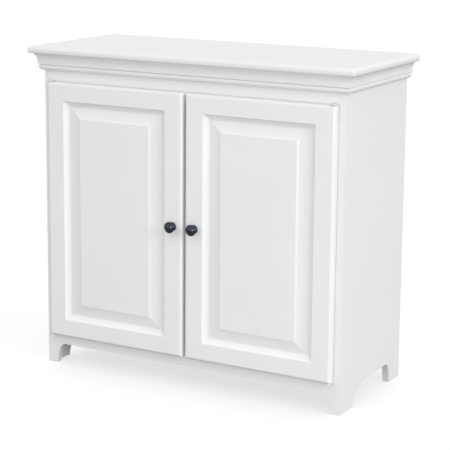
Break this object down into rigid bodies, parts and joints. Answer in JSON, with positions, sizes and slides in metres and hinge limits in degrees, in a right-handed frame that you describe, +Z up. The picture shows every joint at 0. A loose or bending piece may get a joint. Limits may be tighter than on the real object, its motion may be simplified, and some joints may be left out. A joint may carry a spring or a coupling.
{
  "type": "two-door storage cabinet",
  "caption": "Low white cabinet with overlay raised-panel doors, dark round knobs, moulded crown under an overhanging top, bracket feet and adjustable shelves.",
  "frame": {"origin": "on the floor, under the middle of the bounding box of the closed cabinet", "axes": "+Z up, doors and knobs towards -Y, +X to the right seen from the front"},
  "size_m": [0.984, 0.4276, 0.9],
  "materials": {
    "painted_top": "satin white enamel on wood",
    "painted_wood": "satin white enamel on wood",
    "painted_door": "satin white enamel on wood",
    "inside_board": "matt white paint on board",
    "back_board": "matt white hardboard",
    "beech": "bare beech",
    "dark_bronze": "satin blue-black",
    "zinc_steel": "zinc plated",
    "painted_steel": "white powder coat",
    "bush_brass": "turned brass",
    "catch_plastic": "white moulded plastic",
    "magnet": "bare ferrite",
    "clear_pad": "soft clear pad"
  },
  "bodies": {
    "carcass": {"top_board": "painted_top", "left_side_panel": "painted_wood", "right_side_panel": "painted_wood", "back_panel": "back_board", "bottom_panel": "inside_board", "left_face_stile": "painted_wood", "right_face_stile": "painted_wood", "face_top_rail": "painted_wood", "face_bottom_rail": "painted_wood", "face_frame_dowels": "beech", "crown_front": "painted_wood", "crown_left": "painted_wood", "crown_right": "painted_wood", "front_top_stretcher": "inside_board", "rear_top_stretcher": "inside_board", "stretcher_dowels": "beech", "top_board_screws": "zinc_steel", "corner_blocks": "beech", "back_panel_nails": "zinc_steel", "upper_shelf": "inside_board", "lower_shelf": "inside_board", "shelf_pins": "zinc_steel", "hinge_brackets": "painted_steel", "hinge_pins": "zinc_steel", "hinge_screws": "zinc_steel", "catch_bodies": "catch_plastic", "catch_magnets": "magnet", "catch_screws": "zinc_steel"},
    "left_door": {"left_door_hinge_stile": "painted_door", "left_door_lock_stile": "painted_door", "left_door_top_rail": "painted_door", "left_door_bottom_rail": "painted_door", "left_door_raised_panel": "painted_door", "left_door_knob": "dark_bronze", "left_door_knob_screw": "zinc_steel", "left_door_bushes": "bush_brass", "left_door_strike_plate": "zinc_steel", "left_door_strike_screws": "zinc_steel", "left_door_bumpers": "clear_pad"},
    "right_door": {"right_door_hinge_stile": "painted_door", "right_door_lock_stile": "painted_door", "right_door_top_rail": "painted_door", "right_door_bottom_rail": "painted_door", "right_door_raised_panel": "painted_door", "right_door_knob": "dark_bronze", "right_door_knob_screw": "zinc_steel", "right_door_bushes": "bush_brass", "right_door_strike_plate": "zinc_steel", "right_door_strike_screws": "zinc_steel", "right_door_bumpers": "clear_pad"}
  },
  "joints": [
    {"name": "left_door_swing", "type": "hinge", "parent": "carcass", "child": "left_door", "pos_m": [-0.43, -0.18225, 0.445], "axis": [0, 0, -1], "range_deg": [0, 105]},
    {"name": "right_door_swing", "type": "hinge", "parent": "carcass", "child": "right_door", "pos_m": [0.43, -0.18225, 0.445], "axis": [0, 0, 1], "range_deg": [0, 105]}
  ]
}
